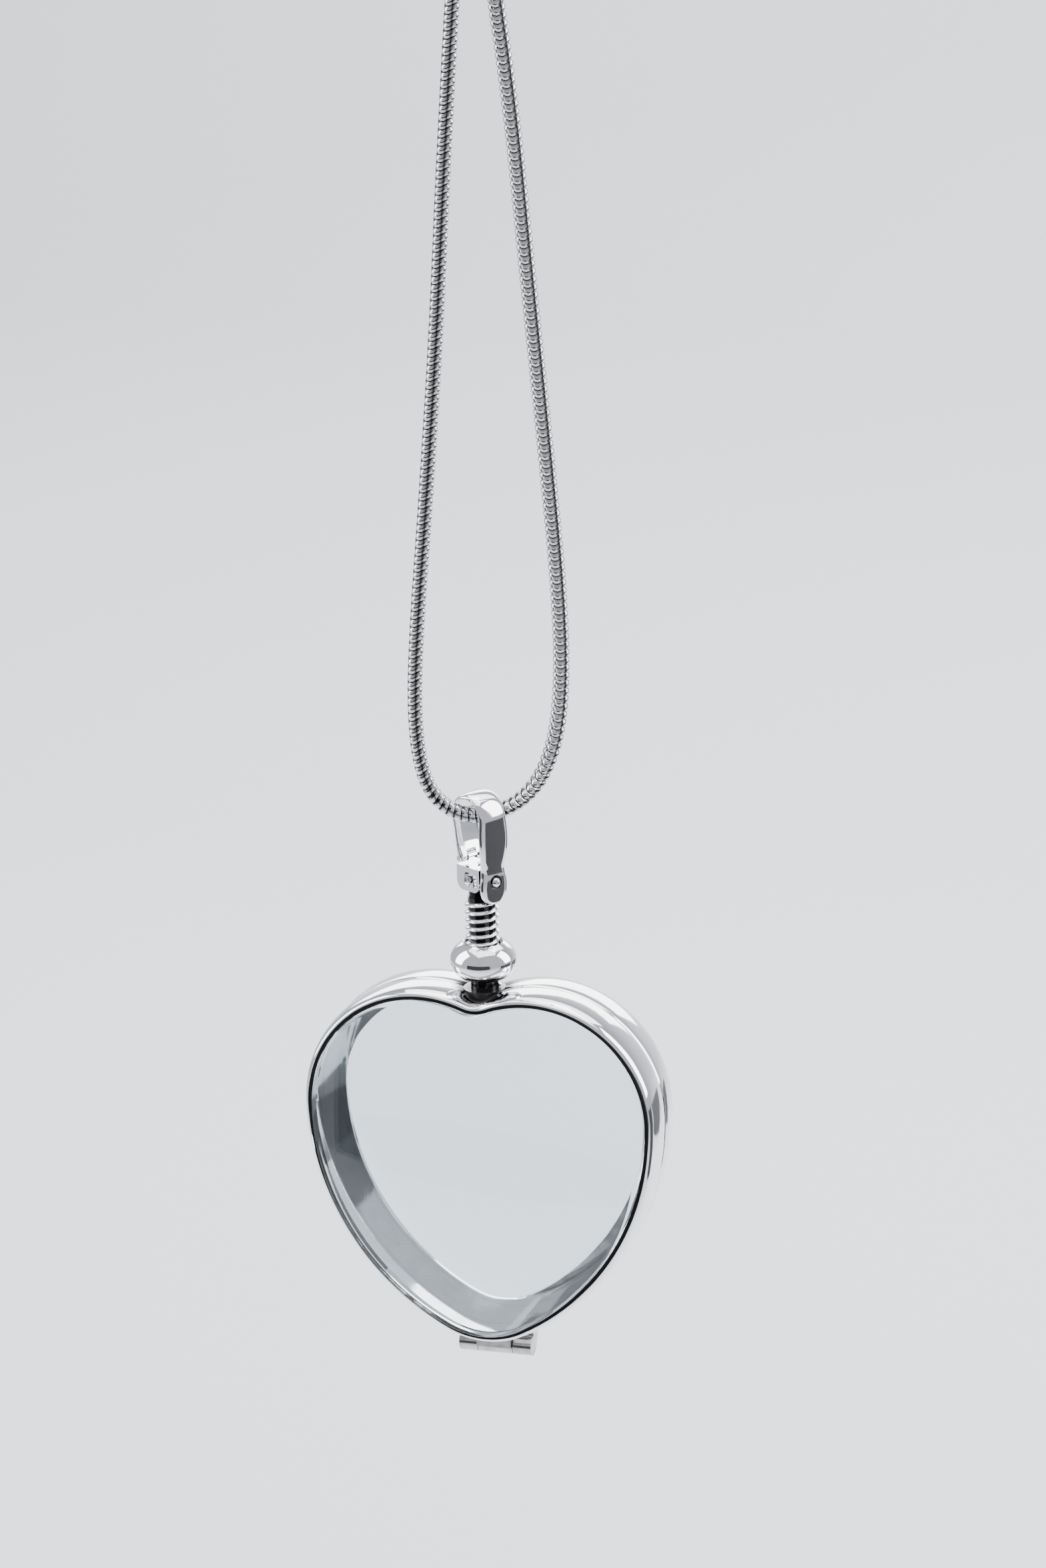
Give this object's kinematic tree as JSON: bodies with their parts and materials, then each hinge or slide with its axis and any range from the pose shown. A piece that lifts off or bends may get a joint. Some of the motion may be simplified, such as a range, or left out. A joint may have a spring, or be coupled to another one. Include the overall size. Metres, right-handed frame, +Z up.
{
  "type": "locket",
  "caption": "Heart locket with two clear domed crystals, a hinged openable case, a screw-down ball, a hinged swivelling bail and a snake chain.",
  "frame": {"origin": "the top of the inside of the big ring that the necklace hangs from", "axes": "+Z up; the heart's front crystal faces -Y; +X to the viewer's right of the heart"},
  "size_m": [0.0305, 0.0107, 0.1335],
  "materials": {
    "polished_silver": "mirror polish",
    "crystal_glass": "polished",
    "gasket_black": "satin",
    "nut_steel": "turned",
    "chain_silver": "bright"
  },
  "bodies": {
    "chain": {"snake_chain": "chain_silver", "end_cap_left": "chain_silver", "end_cap_right": "chain_silver", "jump_ring_left": "chain_silver", "jump_ring_right": "chain_silver", "clasp_body": "chain_silver", "clasp_rivet": "nut_steel"},
    "clasp_trigger": {"clasp_lever": "chain_silver"},
    "bail": {"bail_strap": "polished_silver", "bail_catch_ball": "polished_silver", "bail_hinge_pin": "nut_steel"},
    "head": {"swivel_head": "polished_silver"},
    "rear_half": {"rear_frame": "polished_silver", "rear_crystal": "crystal_glass", "rear_crystal_gasket": "gasket_black", "hinge_knuckle_left": "polished_silver", "hinge_knuckle_right": "polished_silver", "hinge_pin": "nut_steel", "rear_collar": "polished_silver", "threaded_stud": "polished_silver", "swivel_rivet": "nut_steel"},
    "front_half": {"front_frame": "polished_silver", "front_crystal": "crystal_glass", "front_crystal_gasket": "gasket_black", "hinge_knuckle_middle": "polished_silver", "front_half_lug": "polished_silver", "front_collar": "polished_silver"},
    "nut": {"nut_bush": "nut_steel"},
    "ball": {"ball_shell": "polished_silver"}
  },
  "joints": [
    {"name": "clasp_lever_turn", "type": "hinge", "parent": "chain", "child": "clasp_trigger", "pos_m": [0, -0.00155, -0.00984], "axis": [-0.7771, -0.6293, 0], "range_deg": [0, 18], "stiffness_Nm_per_rad": 0.0002, "springref_deg": -5.73},
    {"name": "pendant_swing", "type": "hinge", "parent": "chain", "child": "bail", "pos_m": [-0.00143, -0.00116, -0.08555], "axis": [-0.7771, -0.6293, 0], "range_deg": [-40, 40]},
    {"name": "bail_open", "type": "hinge", "parent": "bail", "child": "head", "pos_m": [-0.00254, -0.00048, -0.0895], "axis": [0.5225, 0.8526, 0], "range_deg": [0, 80]},
    {"name": "head_swivel", "type": "hinge", "parent": "head", "child": "rear_half", "pos_m": [-0.00143, -0.00116, -0.09255], "axis": [0, 0, 1], "continuous": true},
    {"name": "locket_hinge", "type": "hinge", "parent": "rear_half", "child": "front_half", "pos_m": [-0.00143, -0.00116, -0.1321], "axis": [1, 0, 0], "range_deg": [0, 150]},
    {"name": "nut_travel", "type": "slide", "parent": "rear_half", "child": "nut", "axis": [0, 0, 1], "range_m": [0, 0.00272]},
    {"name": "ball_turn", "type": "hinge", "parent": "nut", "child": "ball", "pos_m": [-0.00143, -0.00116, -0.09815], "axis": [0, 0, 1], "range_deg": [0, 1440]}
  ],
  "couplings": [
    {"joint": "ball_turn", "follows": "nut_travel", "rad_per_m": 9240}
  ]
}
